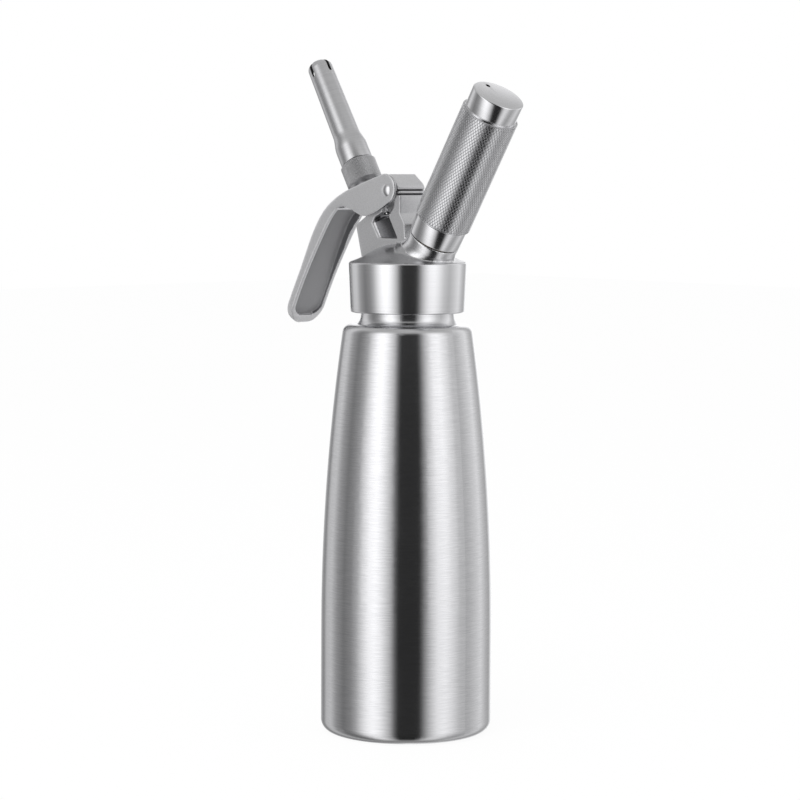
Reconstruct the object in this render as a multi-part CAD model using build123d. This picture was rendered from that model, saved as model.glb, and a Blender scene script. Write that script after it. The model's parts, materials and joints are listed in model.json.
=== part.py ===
from build123d import *
import os
from math import cos, radians, sin

# Whipped cream dispenser: steel bottle, screw-on head, push-in valve worked by a lever,
# and a screw-on holder for an 8 g gas charger. Millimetres, Z up, origin at the centre of
# the base. The charger leans to +X, the nozzle and the lever to -X.

# Fits
running_clearance = 0.05
free_clearance = 0.3
press_clearance = 0.02
thread_clearance = 0.4
seal_gap = 0.1
edge_chamfer = 0.5
thread_chamfer = 0.6
over = 1.0  # how far a cutter passes the face it opens

# Bottle
bottle_r = 41.6
bottle_wall = 1.2
base_wall = 1.6
base_corner_r = 5.5
base_ring_inner_r = 24.0
base_ring_outer_r = 33.0
base_ring_depth = 0.8
taper_start_z = 50.0
shoulder_r = 31.0
shoulder_z = 199.0
shoulder_corner_r = 4.5

# Threaded neck ring
neck_bore_r = 19.6
neck_thread_r = 22.4
neck_h = 20.0
collar_foot_r = 24.4
collar_top_r = 22.7
collar_h = 5.0

# Head cap
skirt_gap = 5.7
skirt_h = 24.2
skirt_bottom_r = 27.6
skirt_top_r = 28.6
skirt_edge_r = 0.7
dome_rise = 9.6
dome_mid_r = 16.2
dome_mid_rise = 5.6
dome_rim_slope = 0.3
head_recess_r = 16.0
head_recess_h = 5.0
gasket_t = 2.8
gasket_inner_r = 18.4

# Valve axis, measured from where it crosses the bottle's axis
nozzle_tilt = 30.7
valve_drop = 6.9
seat_s = 6.0
stem_r = 4.0
stem_bore_r = 2.3
stem_floor_t = 1.0
stem_neck_r = 3.4
stem_neck_len = 9.0
outlet_hole_r = 1.5
valve_head_r = 7.0
valve_head_t = 3.0
valve_seal_t = 2.6
valve_chamber_r = 5.2
valve_chamber_len = 6.0
o_ring_section_r = 0.45
o_ring_groove = 1.8
o_ring_s = 17.0
bush_bottom_s = 22.0
bush_len = 10.5
bush_r = 6.0
washer_t = 0.8
washer_r = 6.3
spring_pocket_r = 6.7
spring_mean_r = 5.2
spring_wire_r = 0.6
spring_turns = 5.0

# Nozzle adapter and decorating nozzle
flange_s = 46.5
flange_t = 3.0
flange_r = 7.5
waist_r = 5.4
nut_s = 59.6
nut_h = 11.8
nut_r = 8.9
nut_chamfer = 0.7
nozzle_seal_w = 1.5
spigot_r = 5.6
spigot_h = 8.6
adapter_bore_r = 2.6
nozzle_seal_t = 1.2
nozzle_shoulder_r = 8.0
nozzle_shoulder_h = 8.2
nozzle_ogive_h = 8.4
nozzle_root_r = 6.7
nozzle_tip_r = 6.2
nozzle_tube_h = 41.6
nozzle_wall = 1.2
nozzle_dome_h = 4.2
nozzle_slot_w = 1.7
nozzle_slot_h = 6.5

# Tower of the head: the block round the valve and the knuckle that carries the lever
tower_width = 17.4
tower_top_s = 41.4
tower_front_w = -10.3
tower_foot_w = -14.0
tower_foot_s = 28.4
tower_front_r = 4.0
stem_boss_r = 8.5
stem_boss_s = 36.3
post_front_w = 10.5
pivot_w = 21.1
pivot_s = 44.0
knuckle_r = 7.7
knuckle_face_x = 6.8
knuckle_chamfer_z = 3.2
knuckle_edge = 1.0
groove_h = 0.8
groove_depth = 1.3
ledge_t = 1.1
lug_back_x = 7.8
lug_flare_x = 11.1
lug_waist_z = -10.9
lug_flare_z = -16.1
lug_foot_x = 11.8
notch_width = 11.8
notch_foot_z = -15.3
notch_start_x = -1.5
# Window through the block, as (across, along) points from the valve's axis
window_outline = [(2.6, 36.3), (3.0, 27.8), (14.5, 20.8), (14.5, 33.3), (19.7, 35.2), (21.6, 37.8),
                  (15.1, 41.6), (11.4, 37.3), (5.65, 37.9)]

# Lever
lever_width = 21.6
ear_width = 21.6
near_ear_end = (-1.0, 0.7, 7.2)  # x and z from the pivot, then radius
far_ear_end = (-1.0, -0.5, 5.4)
ear_top_slope = 14.8
ear_foot_slope = 28.8
ear_back_x = 14.4
lever_rim = 2.2
lever_tip_round = 11.0
flare_start_x = -28.0
flare_end_x = -46.0
fork_root_x = -34.3
fork_corner_r = 4.5
# Side view of the lever, as (x, z) points from the pivot: along the ear's top, over the bend,
# down the back, round the tip, up the face to the crook, and along the ear's belly
ear_top_mid = (-20.0, 2.5)
bend_start = (-33.8, -2.5)
bend_slope = 23.9
handle_back = [(-42.7, -7.7), (-52.4, -18.8), (-62.0, -36.9)]
tip_back = (-76.4, -64.7)
tip_low = (-74.9, -67.2)
tip_face = (-71.7, -65.6)
handle_slope = 64.0
handle_face = [(-61.0, -44.9), (-47.6, -23.6), (-37.6, -10.9)]
crook = (-33.8, -8.7)
crook_slope = 13.0
ear_belly = (-18.4, -12.4)
channel_floor = [(-38.4, -8.9), (-41.3, -9.9), (-50.3, -20.1), (-59.8, -38.1), (-72.9, -62.7)]
channel_opening = [(-62.1, -68.0), (-30.0, -40.0), (-34.5, -12.5)]
pad_r = 3.0
pad_lift = 0.25
pad_inset = 0.5
pin_r = 2.5
pin_head_r = 3.0
pin_head_h = 1.0

# Charger port and holder, measured along the charger's axis from the holder's mouth
charger_tilt = 32.2
port_x = 18.9
port_rise = 19.1
port_gap = 0.6
port_boss_r = 12.5
port_boss_h = 4.6
port_flare_r = 16.5
port_flare_h = 6.5
port_core_len = 20.8
gas_passage_len = 26.2
stud_r = 9.9
stud_h = 13.0
stud_foot_r = 7.0
stud_foot_len = 8.0
charger_socket_r = 4.9
port_seal_t = 1.5
pin_base_r = 3.0
needle_r = 0.8
needle_len = 3.9
gas_hole_r = 1.2
check_disc_r = 3.0
check_disc_t = 1.2
check_chamber_h = 2.4
holder_end_t = 4.1
holder_thread_depth = 13.6
holder_band_r = 12.8
holder_top_r = 12.6
knurl_r = 13.8
knurl_start = 10.5
holder_top_band_h = 9.2
holder_groove_w = 0.8
holder_groove_depth = 0.5
vent_r = 1.15
vent_offset = 8.4

# Standard 8 g charger
charger_tip_t = 9.6
charger_len = 65.5
charger_r = 8.9
charger_neck_r = 4.4
charger_neck_len = 6.0
charger_shoulder_len = 10.0
charger_wall = 1.3
charger_hole_r = 1.1
cap_t = 0.5
cap_r = 3.2

# Heights that follow from the stack of parts
rim_z = shoulder_z + neck_h
ceiling_z = rim_z + seal_gap + gasket_t
skirt_bottom_z = shoulder_z + skirt_gap
skirt_top_z = skirt_bottom_z + skirt_h
valve_origin_z = ceiling_z - valve_drop
holder_bore_r = charger_r + free_clearance
thread_bore_r = neck_thread_r + thread_clearance
stem_bore_wall_r = stem_r + running_clearance
bush_top_s = bush_bottom_s + bush_len
spring_bottom_s = bush_top_s + washer_t + seal_gap
spring_top_s = flange_s - seal_gap
flange_top_s = flange_s + flange_t
nut_top_s = nut_s + nut_h
nozzle_bottom_s = nut_top_s + free_clearance
nozzle_seal_r = spigot_r + nozzle_seal_w
shoulder_top_s = nozzle_bottom_s + nozzle_shoulder_h
nozzle_tip_s = shoulder_top_s + nozzle_ogive_h + nozzle_tube_h
pad_s = flange_top_s + pad_lift + pad_r
cheek_y = tower_width / 2
ear_inner_y = cheek_y + free_clearance
ear_outer_y = ear_width / 2
stud_foot_t = -port_gap - stud_foot_len
holder_len = charger_tip_t + charger_len + free_clearance + holder_end_t
knurl_end = holder_len - holder_top_band_h - holder_groove_w
socket_t = charger_tip_t - seal_gap - port_seal_t

nozzle_frame = Plane(
    origin=(0, 0, valve_origin_z),
    x_dir=(cos(radians(nozzle_tilt)), 0, sin(radians(nozzle_tilt))),
    z_dir=(-sin(radians(nozzle_tilt)), 0, cos(radians(nozzle_tilt))),
)
charger_frame = Plane(
    origin=(port_x, 0, ceiling_z + port_rise),
    x_dir=(cos(radians(charger_tilt)), 0, -sin(radians(charger_tilt))),
    z_dir=(sin(radians(charger_tilt)), 0, cos(radians(charger_tilt))),
)


def at_valve(across, along):
    """Side-view point (x, z) given across and along the valve's axis."""
    place = nozzle_frame.from_local_coords(Vector(across, 0, along))
    return (place.X, place.Z)


pivot_x, pivot_z = at_valve(pivot_w, pivot_s)


def at_pivot(x, z):
    """Side-view point (x, z) given from the lever's pivot."""
    return (pivot_x + x, pivot_z + z)


def heading(degrees):
    """Unit direction in the side view, measured up from +X."""
    return (cos(radians(degrees)), sin(radians(degrees)))


def turned(outline):
    """Solid of revolution about Z from a closed outline of (radius, height) points."""
    return revolve(make_face(Plane.XZ * Polyline(*outline, close=True)), Axis.Z)


def tube(outer_r, inner_r, bottom, top):
    return turned([(inner_r, bottom), (outer_r, bottom), (outer_r, top), (inner_r, top)])


def rod(radius, bottom, top):
    return Pos(0, 0, bottom) * Cylinder(radius, top - bottom, align=(Align.CENTER, Align.CENTER, Align.MIN))


def side_slab(outline, width):
    """Closed side-view outline given its thickness, centred on the plane y = 0."""
    face = make_face(Plane.XZ * Polyline(*outline, close=True))
    return extrude(face, width / 2, both=True)


def on_valve(shape):
    return nozzle_frame.location * shape


def on_charger(shape):
    return charger_frame.location * shape


def across_pivot(radius, length):
    """Cylinder on the lever's pivot axis."""
    return Pos(pivot_x, 0, pivot_z) * Rot(90, 0, 0) * Cylinder(radius, length)


def bottle_blank(inset, floor):
    """Bottle form drawn in by a wall: cylinder, one tangent curve, rounded shoulder."""
    wall_r = bottle_r - inset
    top_r = shoulder_r - inset
    top_z = shoulder_z - inset
    with BuildLine(Plane.XZ) as outline:
        Polyline((0, top_z), (0, floor), (wall_r, floor), (wall_r, taper_start_z))
        side = TangentArc((wall_r, taper_start_z), (top_r, top_z), tangent=(0, 1))
        Line(side @ 1, (0, top_z))
    face = make_face(outline.line)
    corners = face.vertices().sort_by(Axis.X)[-3:]
    foot = corners.sort_by(Axis.Z)[0]
    face = fillet(foot, base_corner_r - inset)
    shoulder = [v for v in face.vertices() if abs(v.X - top_r) < 0.01 and abs(v.Z - top_z) < 0.01]
    face = fillet(shoulder, shoulder_corner_r - inset)
    return revolve(face, Axis.Z)


def bottle():
    body = bottle_blank(0, 0) - bottle_blank(bottle_wall, base_wall)
    body -= rod(neck_thread_r, shoulder_z - 2 * bottle_wall, shoulder_z + bottle_wall)
    return body - tube(base_ring_outer_r, base_ring_inner_r, -base_ring_depth, base_ring_depth)


def neck_ring():
    """Turned ring welded into the bottle's shoulder, with a polished collar at its foot."""
    foot_z = shoulder_z - bottle_wall
    collar_z = shoulder_z + collar_h
    with BuildLine(Plane.XZ) as outline:
        Polyline((collar_foot_r, shoulder_z), (neck_thread_r - press_clearance, shoulder_z),
                 (neck_thread_r - press_clearance, foot_z), (neck_bore_r, foot_z), (neck_bore_r, rim_z),
                 (neck_thread_r - thread_chamfer, rim_z), (neck_thread_r, rim_z - thread_chamfer),
                 (neck_thread_r, collar_z), (collar_top_r, collar_z))
        ThreePointArc((collar_top_r, collar_z),
                      (collar_top_r + (collar_foot_r - collar_top_r) / 3, shoulder_z + collar_h / 3),
                      (collar_foot_r, shoulder_z))
    return revolve(make_face(outline.line), Axis.Z)


def head_gasket():
    return tube(neck_thread_r, gasket_inner_r, rim_z + seal_gap, ceiling_z)


def cap_blank():
    """Outside of the head cap: tapered skirt and a bell-shaped top."""
    top_z = skirt_top_z + dome_rise
    with BuildLine(Plane.XZ) as outline:
        Polyline((0, top_z), (0, skirt_bottom_z), (skirt_bottom_r, skirt_bottom_z),
                 (skirt_top_r, skirt_top_z))
        Spline((skirt_top_r, skirt_top_z), (dome_mid_r, skirt_top_z + dome_mid_rise), (0, top_z),
               tangents=((-1, dome_rim_slope), (-1, 0)))
    cap = revolve(make_face(outline.line), Axis.Z)
    rims = [e for e in cap.edges().filter_by(GeomType.CIRCLE) if e.radius > skirt_bottom_r - 0.01]
    return fillet(rims, skirt_edge_r)


def port_boss():
    """Round boss under the charger holder, spreading into the cap at its foot."""
    flare_t = -port_gap - port_boss_h
    foot_t = flare_t - port_flare_h
    with BuildLine(Plane.XZ) as outline:
        Polyline((0, foot_t), (0, -port_gap), (port_boss_r, -port_gap), (port_boss_r, flare_t))
        TangentArc((port_boss_r, flare_t), (port_flare_r, foot_t), tangent=(0, -1))
        Line((port_flare_r, foot_t), (0, foot_t))
    return on_charger(revolve(make_face(outline.line), Axis.Z))


def tower():
    """Block round the valve, post, knuckle bar and the two ribs behind it."""
    foot_z = skirt_top_z
    front_foot = at_valve(tower_foot_w, tower_foot_s)
    knuckle_front = at_pivot(-knuckle_r, 0)
    crest = at_pivot(0, knuckle_r)
    with BuildLine(Plane.XZ) as outline:
        Polyline(crest, at_pivot(knuckle_face_x - knuckle_edge, knuckle_chamfer_z),
                 at_pivot(knuckle_face_x, knuckle_chamfer_z - 1.4 * knuckle_edge),
                 at_pivot(knuckle_face_x, 0), at_pivot(lug_back_x, 0), at_pivot(lug_back_x, lug_waist_z),
                 at_pivot(lug_flare_x, lug_flare_z), (pivot_x + lug_foot_x, foot_z),
                 (front_foot[0] + over, foot_z), front_foot,
                 at_valve(tower_front_w, tower_top_s), at_valve(post_front_w, tower_top_s), knuckle_front)
        RadiusArc(knuckle_front, crest, knuckle_r)
    block = extrude(make_face(outline.line), tower_width / 2, both=True)
    front_edges = block.edges().filter_by(lambda e: abs((e @ 0.5).Y) > 0.4 * tower_width).sort_by(Axis.X)[:2]
    block = fillet(front_edges, tower_front_r)
    for groove_top in (pivot_z + groove_h / 2, pivot_z - groove_h / 2 - ledge_t):
        block -= back_groove(groove_top)
    block -= side_slab([at_valve(*point) for point in window_outline], tower_width + over)
    return block - back_notch()


def back_groove(top_z):
    """Thin slot across the back, above and below the ledge under the knuckle."""
    depth = lug_back_x + over - knuckle_face_x + groove_depth
    slot = Box(depth, tower_width + over, groove_h, align=(Align.MIN, Align.CENTER, Align.MAX))
    return Pos(pivot_x + knuckle_face_x - groove_depth, 0, top_z) * slot


def back_notch():
    """U-shaped opening between the two rear ribs, through to the window."""
    half = notch_width / 2
    top_z = pivot_z - 2 * groove_h - 2 * ledge_t
    arc_z = pivot_z + notch_foot_z + half
    with BuildLine(Plane.YZ) as outline:
        Polyline((-half, arc_z), (-half, top_z), (half, top_z), (half, arc_z))
        RadiusArc((half, arc_z), (-half, arc_z), half)
    notch = extrude(make_face(outline.line), lug_flare_x - notch_start_x + over)
    return Pos(pivot_x + notch_start_x, 0, 0) * notch


def head_casting():
    cap = cap_blank()
    recess_top = ceiling_z + head_recess_h
    recess = turned([(0, ceiling_z - over), (head_recess_r, ceiling_z - over), (head_recess_r, ceiling_z),
                     (head_recess_r - head_recess_h, recess_top), (0, recess_top)])
    cap -= recess + rod(thread_bore_r, skirt_bottom_z - over, ceiling_z)
    cap += port_boss() + tower()
    cap += on_valve(rod(stem_boss_r, seat_s, stem_boss_s))
    cap += on_charger(rod(stud_foot_r, -port_core_len, -port_gap))
    cap -= on_valve(rod(valve_chamber_r, seat_s - over, seat_s + valve_chamber_len))
    cap -= on_valve(rod(stem_bore_wall_r, seat_s, bush_bottom_s + over))
    cap -= on_valve(rod(bush_r + press_clearance, bush_bottom_s, bush_top_s))
    cap -= on_valve(rod(spring_pocket_r, bush_top_s, flange_s))
    cap -= on_charger(rod(stud_foot_r, stud_foot_t, over))
    cap -= on_charger(rod(check_disc_r + free_clearance, stud_foot_t - check_chamber_h, 0))
    cap -= on_charger(rod(gas_hole_r, -gas_passage_len, 0))
    return cap - across_pivot(pin_r + running_clearance, tower_width + over)


def valve_stem():
    """Hollow stem with a mushroom head below; four outlet holes lead into its bore."""
    head_bottom = seat_s - seal_gap - valve_seal_t - valve_head_t
    neck_top = flange_s + stem_neck_len
    stem = turned([(0, head_bottom), (valve_head_r, head_bottom), (valve_head_r, head_bottom + valve_head_t),
                   (stem_r, head_bottom + valve_head_t), (stem_r, flange_s), (stem_neck_r, flange_s),
                   (stem_neck_r, neck_top), (0, neck_top)])
    stem -= rod(stem_bore_r, seat_s + stem_floor_t, neck_top + over)
    outlet = Pos(0, 0, seat_s + valve_chamber_len / 2) * Rot(90, 0, 0) * Cylinder(outlet_hole_r, 4 * stem_r)
    stem -= outlet + Rot(0, 0, 90) * outlet
    half = o_ring_groove / 2
    return on_valve(stem - tube(stem_r + over, stem_r - half, o_ring_s - half, o_ring_s + half))


def valve_seal():
    top = seat_s - seal_gap
    return on_valve(tube(valve_head_r - free_clearance, stem_r + press_clearance, top - valve_seal_t, top))


def stem_o_ring():
    return on_valve(Pos(0, 0, o_ring_s) * Torus(stem_r - o_ring_section_r, o_ring_section_r))


def guide_bush():
    return on_valve(tube(bush_r, stem_bore_wall_r, bush_bottom_s, bush_top_s))


def spring_washer():
    return on_valve(tube(washer_r, stem_r + free_clearance, bush_top_s, bush_top_s + washer_t))


def return_spring():
    bottom = spring_bottom_s + spring_wire_r
    height = spring_top_s - spring_wire_r - bottom
    path = Helix(height / spring_turns, height, spring_mean_r)
    wire = Plane(origin=path @ 0, z_dir=path % 0) * Circle(spring_wire_r)
    return on_valve(Pos(0, 0, bottom) * sweep(wire, path, is_frenet=True))


def nozzle_adapter():
    """Flange that the lever pushes, waist, knurled ring and spigot for the nozzle."""
    bore_r = stem_neck_r + running_clearance
    bore_end = flange_s + stem_neck_len + seal_gap
    adapter = turned([
        (bore_r, flange_s), (flange_r, flange_s), (flange_r, flange_top_s), (waist_r, flange_top_s),
        (waist_r, nut_s), (nut_r - nut_chamfer, nut_s), (nut_r, nut_s + nut_chamfer),
        (nut_r, nut_top_s - nut_chamfer), (nut_r - nut_chamfer, nut_top_s), (spigot_r, nut_top_s),
        (spigot_r, nut_top_s + spigot_h - edge_chamfer), (spigot_r - edge_chamfer, nut_top_s + spigot_h),
        (adapter_bore_r, nut_top_s + spigot_h), (adapter_bore_r, bore_end), (bore_r, bore_end)])
    return on_valve(adapter)


def nozzle_seal():
    bottom = nut_top_s + seal_gap
    return on_valve(tube(nozzle_seal_r, spigot_r + free_clearance, bottom, bottom + nozzle_seal_t))


def nozzle_form(bottom, straight_h, shoulder, root, tip, end_s):
    """Ogive shoulder and slender tapered tube with a domed end."""
    root_s = shoulder_top_s + nozzle_ogive_h
    dome_s = end_s - nozzle_dome_h
    with BuildLine(Plane.XZ) as outline:
        Polyline((0, end_s), (0, bottom), (shoulder, bottom), (shoulder, bottom + straight_h))
        Spline((shoulder, bottom + straight_h), (root, root_s), tangents=((0, 1), (0, 1)))
        Line((root, root_s), (tip, dome_s))
        EllipticalCenterArc((0, dome_s), tip, nozzle_dome_h, start_angle=0, arc_size=90)
    return revolve(make_face(outline.line), Axis.Z)


def decorating_nozzle():
    mouth_top = nut_top_s + spigot_h + free_clearance
    seat_top = nut_top_s + nozzle_seal_t + 2 * seal_gap
    nozzle = nozzle_form(nozzle_bottom_s, nozzle_shoulder_h, nozzle_shoulder_r, nozzle_root_r, nozzle_tip_r,
                         nozzle_tip_s)
    nozzle -= nozzle_form(mouth_top, seal_gap, spigot_r, nozzle_root_r - nozzle_wall,
                          nozzle_tip_r - nozzle_wall, nozzle_tip_s - nozzle_wall)
    nozzle -= rod(spigot_r + free_clearance, nozzle_bottom_s - over, mouth_top + seal_gap)
    nozzle -= rod(nozzle_seal_r + seal_gap, nozzle_bottom_s - over, seat_top)
    slot_mid_s = nozzle_tip_s + (over - nozzle_slot_h) / 2
    slot = Pos(0, 0, slot_mid_s) * Box(4 * nozzle_tip_r, nozzle_slot_w, nozzle_slot_h + over)
    for turn in (45, 135):
        nozzle -= Rot(0, 0, turn) * slot
    return on_valve(nozzle)


def lever_plan(inset):
    """Lever seen from above, drawn in by a rim: parallel ears and a wider handle."""
    ear_y = ear_outer_y - inset
    handle_y = lever_width / 2 - inset
    tip_x = pivot_x + tip_back[0] - over
    with BuildLine() as outline:
        near = Line((pivot_x + ear_back_x, -ear_y), (pivot_x + flare_start_x, -ear_y))
        side = Spline(near @ 1, (pivot_x + flare_end_x, -handle_y), tangents=((-1, 0), (-1, 0)))
        edge = Line(side @ 1, (tip_x, -handle_y))
        Line((tip_x, -handle_y), (tip_x, handle_y))
        mirror(near, about=Plane.XZ)
        mirror(side, about=Plane.XZ)
        mirror(edge, about=Plane.XZ)
        Line(near @ 0, (pivot_x + ear_back_x, ear_y))
    return extrude(make_face(outline.line), pivot_z + 2 * knuckle_r)


def tip_corners(inset):
    """Corners outside the half ellipse that ends the handle, cut square to its face."""
    low_x, low_z = at_pivot(*tip_low)
    along_x, along_z = heading(180 + handle_slope)
    end = Plane(origin=(low_x, 0, low_z), x_dir=(along_x, 0, along_z), z_dir=(-along_z, 0, along_x))
    block = Rectangle(2 * lever_tip_round, 2 * lever_width)
    oval = Ellipse(lever_tip_round - 2 * inset, lever_width / 2 - inset)
    round_end = Pos(-lever_tip_round, 0) * oval
    return extrude(end * (block - Pos(-2 * lever_tip_round, 0) * block - round_end), lever_width, both=True)


def lever_side(ear_end, width):
    """Half of the lever from its side view: round ear end, bend and a handle that thins to its tip."""
    end_x, end_z, end_r = ear_end
    ear_x, ear_z = at_pivot(end_x, end_z)
    out_x, out_z = heading(90 + ear_top_slope)
    ear_top = (ear_x + end_r * out_x, ear_z + end_r * out_z)
    out_x, out_z = heading(ear_foot_slope - 90)
    ear_foot = (ear_x + end_r * out_x, ear_z + end_r * out_z)
    with BuildLine(Plane.XZ) as outline:
        Spline(ear_top, at_pivot(*ear_top_mid), at_pivot(*bend_start),
               tangents=(heading(180 + ear_top_slope), heading(180 + bend_slope)))
        Spline(at_pivot(*bend_start), *[at_pivot(*point) for point in handle_back], at_pivot(*tip_back),
               tangents=(heading(180 + bend_slope), heading(180 + handle_slope)))
        ThreePointArc(at_pivot(*tip_back), at_pivot(*tip_low), at_pivot(*tip_face))
        Spline(at_pivot(*tip_face), *[at_pivot(*point) for point in handle_face], at_pivot(*crook),
               tangents=(heading(handle_slope), heading(crook_slope)))
        Spline(at_pivot(*crook), at_pivot(*ear_belly), ear_foot,
               tangents=(heading(crook_slope), heading(ear_foot_slope)))
        ThreePointArc(ear_foot, (ear_x + end_r, ear_z), ear_top)
    return extrude(make_face(outline.line), width)


def lever_fork():
    """Gap between the ears that straddles the valve."""
    length = ear_back_x - fork_root_x
    gap = Box(length, 2 * ear_inner_y, 6 * knuckle_r, align=(Align.MIN, Align.CENTER, Align.CENTER))
    gap = Pos(pivot_x + fork_root_x, 0, pivot_z) * gap
    return fillet(gap.edges().filter_by(Axis.Z).group_by(Axis.X)[0], fork_corner_r)


def handle_channel():
    """Shallow panel sunk into the face of the handle that looks at the bottle."""
    with BuildLine(Plane.XZ) as outline:
        floor = Spline(*[at_pivot(*point) for point in channel_floor])
        Polyline(floor @ 1, *[at_pivot(*point) for point in channel_opening], floor @ 0)
    side = extrude(make_face(outline.line), lever_width / 2, both=True)
    return (side & lever_plan(lever_rim)) - tip_corners(lever_rim)


def thrust_pads():
    """Round pads inside the ears that press the adapter's flange."""
    inner_y = waist_r + pad_inset
    length = ear_inner_y + pad_inset - inner_y
    pad = Pos(0, -inner_y - length / 2, pad_s) * Rot(90, 0, 0) * Cylinder(pad_r, length)
    return on_valve(pad) + on_valve(mirror(pad, about=Plane.XZ))


def lever():
    halves = lever_side(near_ear_end, lever_width / 2) + lever_side(far_ear_end, -lever_width / 2)
    fork = (halves & lever_plan(0)) - lever_fork() - handle_channel() - tip_corners(0)
    return fork + thrust_pads() - across_pivot(pin_r, 2 * lever_width)


def lever_pin():
    """Rivet through both ears, with a domed head on each side."""
    shank = Cylinder(pin_r - press_clearance, ear_width)
    dome_r = (pin_head_r ** 2 + pin_head_h ** 2) / (2 * pin_head_h)
    dome = Pos(0, 0, ear_outer_y + pin_head_h - dome_r) * Sphere(dome_r)
    head = dome & Pos(0, 0, ear_outer_y + pin_head_h) * Cylinder(2 * dome_r, 2 * pin_head_h)
    return Pos(pivot_x, 0, pivot_z) * Rot(90, 0, 0) * (shank + head + mirror(head, about=Plane.XY))


def charger_port_stud():
    """Threaded stud that the holder screws onto, pressed into the cap's boss."""
    foot_r = stud_foot_r - press_clearance
    stud = turned([
        (gas_hole_r, stud_foot_t), (foot_r, stud_foot_t), (foot_r, -port_gap), (stud_r, -port_gap),
        (stud_r, stud_h - thread_chamfer), (stud_r - thread_chamfer, stud_h), (charger_socket_r, stud_h),
        (charger_socket_r, socket_t), (pin_base_r + press_clearance, socket_t),
        (pin_base_r + press_clearance, 0), (gas_hole_r, 0)])
    return on_charger(stud)


def piercing_pin():
    """Hollow needle on a round base, fixed in the stud."""
    point_t = socket_t + needle_len
    pin = turned([(0, 0), (pin_base_r, 0), (pin_base_r, socket_t), (needle_r, socket_t),
                  (needle_r, point_t - 2 * needle_r), (0, point_t)])
    return on_charger(pin - rod(needle_r / 2, -over, point_t - 1.5 * needle_r))


def port_seal():
    outer_r = charger_socket_r - seal_gap
    return on_charger(tube(outer_r, needle_r + free_clearance, socket_t, socket_t + port_seal_t))


def check_valve_disc():
    top = stud_foot_t - free_clearance
    return on_charger(rod(check_disc_r, top - check_disc_t, top))


def charger_holder():
    """Long cap over the charger: smooth mouth band, grip band and smooth end, with a vent hole."""
    thread_r = stud_r + free_clearance
    bore_top = holder_len - holder_end_t
    groove_r = holder_band_r - holder_groove_depth
    top_band_t = knurl_end + holder_groove_w
    holder = turned([
        (thread_r, 0), (holder_band_r - edge_chamfer, 0), (holder_band_r, edge_chamfer),
        (holder_band_r, knurl_start - holder_groove_w), (groove_r, knurl_start - holder_groove_w),
        (groove_r, knurl_start), (knurl_r - edge_chamfer, knurl_start), (knurl_r, knurl_start + edge_chamfer),
        (knurl_r, knurl_end - edge_chamfer), (knurl_r - edge_chamfer, knurl_end),
        (groove_r, knurl_end), (groove_r, top_band_t), (holder_top_r, top_band_t),
        (holder_top_r, holder_len - edge_chamfer), (holder_top_r - edge_chamfer, holder_len), (0, holder_len),
        (0, bore_top), (holder_bore_r, bore_top), (holder_bore_r, holder_thread_depth),
        (thread_r, holder_thread_depth)])
    vent = Pos(-vent_offset, 0, 0) * rod(vent_r, bore_top - over, holder_len + over)
    return on_charger(holder - vent)


def charger_form(inset, bottom):
    """Charger outline drawn in by its wall: neck, sloping shoulder, body and round end."""
    body_r = charger_r - inset
    neck_r = charger_neck_r - inset
    shoulder_top = charger_neck_len + charger_shoulder_len
    end_z = charger_len - inset
    with BuildLine(Plane.XZ) as outline:
        Polyline((0, end_z), (0, bottom), (neck_r, bottom), (neck_r, charger_neck_len))
        Spline((neck_r, charger_neck_len), (body_r, shoulder_top), tangents=((0.3, 1), (0, 1)))
        Line((body_r, shoulder_top), (body_r, end_z - body_r))
        RadiusArc((body_r, end_z - body_r), (0, end_z), -body_r)
    return revolve(make_face(outline.line), Axis.Z)


def gas_charger():
    shell = charger_form(0, 0) - charger_form(charger_wall, cap_t + charger_wall)
    shell -= rod(cap_r, -over, cap_t) + rod(charger_hole_r, 0, 3 * charger_wall)
    return on_charger(Pos(0, 0, charger_tip_t) * shell)


def charger_cap():
    """Thin seal pressed into the charger's neck, shown pierced."""
    cap = tube(cap_r - press_clearance, needle_r + free_clearance / 2, 0, cap_t)
    return on_charger(Pos(0, 0, charger_tip_t) * cap)


nodes = [
    bottle, neck_ring, head_casting, head_gasket, lever, lever_pin, valve_stem, valve_seal, stem_o_ring,
    guide_bush, spring_washer, return_spring, nozzle_adapter, nozzle_seal, decorating_nozzle,
    charger_port_stud, piercing_pin, port_seal, check_valve_disc, charger_holder, gas_charger, charger_cap,
]

os.makedirs("parts", exist_ok=True)
for make in nodes:
    export_step(make(), f"parts/{make.__name__}.step")
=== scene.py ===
import json
from math import atan2, cos, pi, radians, sin

import bmesh
import bpy
from mathutils import Matrix, Vector


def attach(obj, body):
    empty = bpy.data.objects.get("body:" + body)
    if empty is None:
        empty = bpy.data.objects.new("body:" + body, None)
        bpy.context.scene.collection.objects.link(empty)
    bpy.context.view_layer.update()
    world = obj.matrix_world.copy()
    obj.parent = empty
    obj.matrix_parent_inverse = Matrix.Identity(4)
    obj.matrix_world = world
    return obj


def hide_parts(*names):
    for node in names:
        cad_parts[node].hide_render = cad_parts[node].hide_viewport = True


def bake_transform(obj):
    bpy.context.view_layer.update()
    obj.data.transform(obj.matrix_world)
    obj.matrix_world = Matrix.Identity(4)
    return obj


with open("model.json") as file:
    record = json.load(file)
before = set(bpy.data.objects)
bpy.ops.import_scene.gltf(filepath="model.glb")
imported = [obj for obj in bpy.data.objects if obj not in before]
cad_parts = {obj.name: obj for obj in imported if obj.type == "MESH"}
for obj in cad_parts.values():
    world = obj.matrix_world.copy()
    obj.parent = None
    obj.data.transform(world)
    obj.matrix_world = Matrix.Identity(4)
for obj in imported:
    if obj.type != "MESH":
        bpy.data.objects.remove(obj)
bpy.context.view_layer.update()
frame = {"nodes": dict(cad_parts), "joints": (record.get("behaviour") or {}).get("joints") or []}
mm = 0.001

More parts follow.
